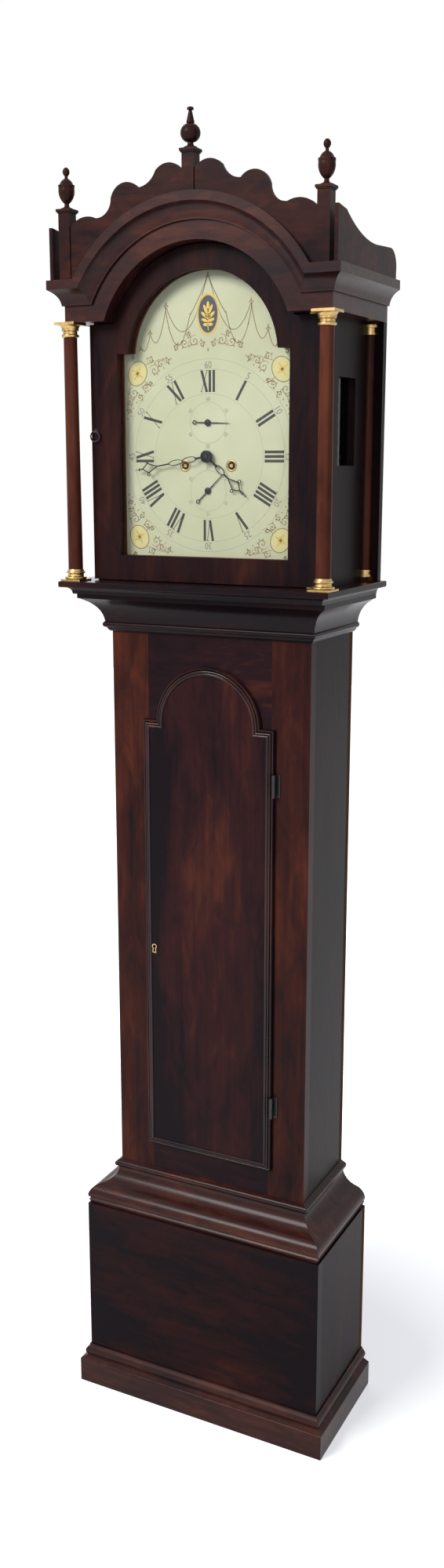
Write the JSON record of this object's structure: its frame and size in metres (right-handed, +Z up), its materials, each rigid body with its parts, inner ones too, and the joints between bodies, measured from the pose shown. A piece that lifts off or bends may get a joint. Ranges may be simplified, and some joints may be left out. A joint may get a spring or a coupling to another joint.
{
  "type": "longcase clock",
  "caption": "Dark polished longcase clock with a break-arch hood, brass-mounted columns, arched trunk door, painted dial, pendulum and falling weights.",
  "frame": {"origin": "on the floor, under the middle of the overall box", "axes": "+Z up; the dial faces -Y; +X is to the viewer's right; the back rests on the wall plane at +Y"},
  "size_m": [0.498, 0.251, 2.208],
  "materials": {
    "case_wood": "polished",
    "plain_wood": "unpolished",
    "brass": "polished",
    "blued_steel": "blued",
    "steel": "satin",
    "bell_metal": "turned",
    "dial_paint": "satin",
    "glass": "polished",
    "gut": "twisted gut",
    "weight_iron": "painted"
  },
  "bodies": {
    "case": {"backboard": "plain_wood", "base_front_panel": "case_wood", "base_sides": "case_wood", "plinth_skirting": "case_wood", "base_moulding": "case_wood", "trunk_stiles": "case_wood", "trunk_rails": "case_wood", "trunk_sides": "case_wood", "throat_moulding": "case_wood", "seatboard": "plain_wood", "case_hinge_leaves": "brass", "movement_plates": "brass", "pillars_and_dial_feet": "brass", "back_cock": "brass", "bell": "bell_metal", "dial_plate": "dial_paint", "line_leads": "gut"},
    "trunk_door_leaf": {"trunk_door": "case_wood", "trunk_hinge_leaves": "brass", "trunk_escutcheon": "brass", "trunk_lock": "steel"},
    "lock_bolt_body": {"lock_bolt": "steel"},
    "hood": {"hood_base_frame": "case_wood", "hood_sides": "case_wood", "hood_side_glass": "glass", "dial_mask": "case_wood", "hood_frieze": "case_wood", "cornice_mouldings": "case_wood", "hood_roof": "plain_wood", "roof_cresting": "case_wood", "finial_plinths": "case_wood", "finials": "case_wood", "hood_columns": "case_wood", "column_brasses": "brass"},
    "hood_door": {"hood_door_stiles": "case_wood", "hood_door_rails": "case_wood", "hood_glass": "glass", "hood_door_pivots": "brass", "hood_door_pull": "steel"},
    "minute_hand_body": {"minute_hand": "blued_steel"},
    "hour_hand_body": {"hour_hand": "blued_steel"},
    "date_hand_body": {"date_hand": "blued_steel"},
    "escape_body": {"escape_wheel": "brass", "seconds_hand": "blued_steel"},
    "third_body": {"third_wheel": "brass"},
    "centre_body": {"centre_wheel": "brass"},
    "going_great_body": {"going_great_wheel": "brass"},
    "strike_great_body": {"strike_great_wheel": "brass"},
    "going_barrel_body": {"going_barrel": "brass"},
    "strike_barrel_body": {"strike_barrel": "brass"},
    "pendulum": {"pendulum_rod": "steel", "pendulum_bob": "brass"},
    "anchor_body": {"anchor_and_crutch": "steel"},
    "hammer_body": {"hammer": "steel"},
    "going_weight_body": {"going_weight": "weight_iron", "going_line": "gut"},
    "going_pulley_body": {"going_pulley": "brass"},
    "strike_weight_body": {"strike_weight": "weight_iron", "strike_line": "gut"},
    "strike_pulley_body": {"strike_pulley": "brass"}
  },
  "joints": [
    {"name": "hood_slide", "type": "slide", "parent": "case", "child": "hood", "axis": [0, -1, 0], "range_m": [0, 0.3]},
    {"name": "hood_door_swing", "type": "hinge", "parent": "hood", "child": "hood_door", "pos_m": [0.197, -0.088, 1.712], "axis": [0, 0, 1], "range_deg": [0, 90]},
    {"name": "trunk_door_swing", "type": "hinge", "parent": "case", "child": "trunk_door_leaf", "pos_m": [0.122, -0.059, 0.903], "axis": [0, 0, 1], "range_deg": [0, 110]},
    {"name": "lock_bolt_slide", "type": "slide", "parent": "trunk_door_leaf", "child": "lock_bolt_body", "axis": [-1, 0, 0], "range_m": [0, 0.008]},
    {"name": "minute_hand_turn", "type": "hinge", "parent": "case", "child": "minute_hand_body", "pos_m": [0, -0.0545, 1.709], "axis": [0, 1, 0], "continuous": true},
    {"name": "hour_hand_turn", "type": "hinge", "parent": "case", "child": "hour_hand_body", "pos_m": [0, -0.0495, 1.709], "axis": [0, 1, 0], "continuous": true},
    {"name": "date_hand_turn", "type": "hinge", "parent": "case", "child": "date_hand_body", "pos_m": [0, -0.0445, 1.656], "axis": [0, 1, 0], "continuous": true},
    {"name": "escape_turn", "type": "hinge", "parent": "case", "child": "escape_body", "pos_m": [0, 0.0135, 1.761], "axis": [0, 1, 0], "continuous": true},
    {"name": "third_turn", "type": "hinge", "parent": "case", "child": "third_body", "pos_m": [0.0085, 0.0135, 1.7366], "axis": [0, 1, 0], "continuous": true},
    {"name": "centre_turn", "type": "hinge", "parent": "case", "child": "centre_body", "pos_m": [0, -0.0095, 1.709], "axis": [0, 1, 0], "continuous": true},
    {"name": "going_great_turn", "type": "hinge", "parent": "case", "child": "going_great_body", "pos_m": [0.041, 0.0205, 1.695], "axis": [0, 1, 0], "continuous": true},
    {"name": "strike_great_turn", "type": "hinge", "parent": "case", "child": "strike_great_body", "pos_m": [-0.041, 0.0205, 1.695], "axis": [0, 1, 0], "continuous": true},
    {"name": "going_barrel_turn", "type": "hinge", "parent": "case", "child": "going_barrel_body", "pos_m": [0.041, 0.0205, 1.695], "axis": [0, 1, 0], "range_deg": [-5300, 40]},
    {"name": "strike_barrel_turn", "type": "hinge", "parent": "case", "child": "strike_barrel_body", "pos_m": [-0.041, 0.0205, 1.695], "axis": [0, 1, 0], "range_deg": [-5300, 40]},
    {"name": "pendulum_swing", "type": "hinge", "parent": "case", "child": "pendulum", "pos_m": [0, 0.0755, 1.784], "axis": [0, 1, 0], "range_deg": [-3, 3]},
    {"name": "anchor_swing", "type": "hinge", "parent": "case", "child": "anchor_body", "pos_m": [0, 0.0255, 1.784], "axis": [0, 1, 0], "range_deg": [-3.2, 3.2]},
    {"name": "hammer_lift", "type": "hinge", "parent": "case", "child": "hammer_body", "pos_m": [-0.078, 0.0255, 1.735], "axis": [0, -1, 0], "range_deg": [0, 12], "stiffness_Nm_per_rad": 0.3, "springref_deg": -11.46},
    {"name": "going_weight_drop", "type": "slide", "parent": "case", "child": "going_weight_body", "axis": [0, 0, -1], "range_m": [0, 0.95], "deforming": ["going_line"]},
    {"name": "going_pulley_turn", "type": "hinge", "parent": "going_weight_body", "child": "going_pulley_body", "pos_m": [0.04, 0.0205, 1.56], "axis": [0, 1, 0], "range_deg": [-2800, 40]},
    {"name": "strike_weight_drop", "type": "slide", "parent": "case", "child": "strike_weight_body", "axis": [0, 0, -1], "range_m": [0, 0.95], "deforming": ["strike_line"]},
    {"name": "strike_pulley_turn", "type": "hinge", "parent": "strike_weight_body", "child": "strike_pulley_body", "pos_m": [-0.0816, 0.0205, 1.56], "axis": [0, 1, 0], "range_deg": [-40, 2800]}
  ],
  "couplings": [
    {"joint": "hour_hand_turn", "follows": "minute_hand_turn", "ratio": 0.083333},
    {"joint": "third_turn", "follows": "escape_turn", "ratio": -0.125},
    {"joint": "centre_turn", "follows": "escape_turn", "ratio": 0.016667},
    {"joint": "going_great_turn", "follows": "escape_turn", "ratio": -0.0013889},
    {"joint": "anchor_swing", "follows": "pendulum_swing", "ratio": 1},
    {"joint": "going_barrel_turn", "follows": "going_weight_drop", "rad_per_m": -96.154},
    {"joint": "going_pulley_turn", "follows": "going_weight_drop", "rad_per_m": -50.505},
    {"joint": "strike_barrel_turn", "follows": "strike_weight_drop", "rad_per_m": -96.154},
    {"joint": "strike_pulley_turn", "follows": "strike_weight_drop", "rad_per_m": 50.505}
  ]
}
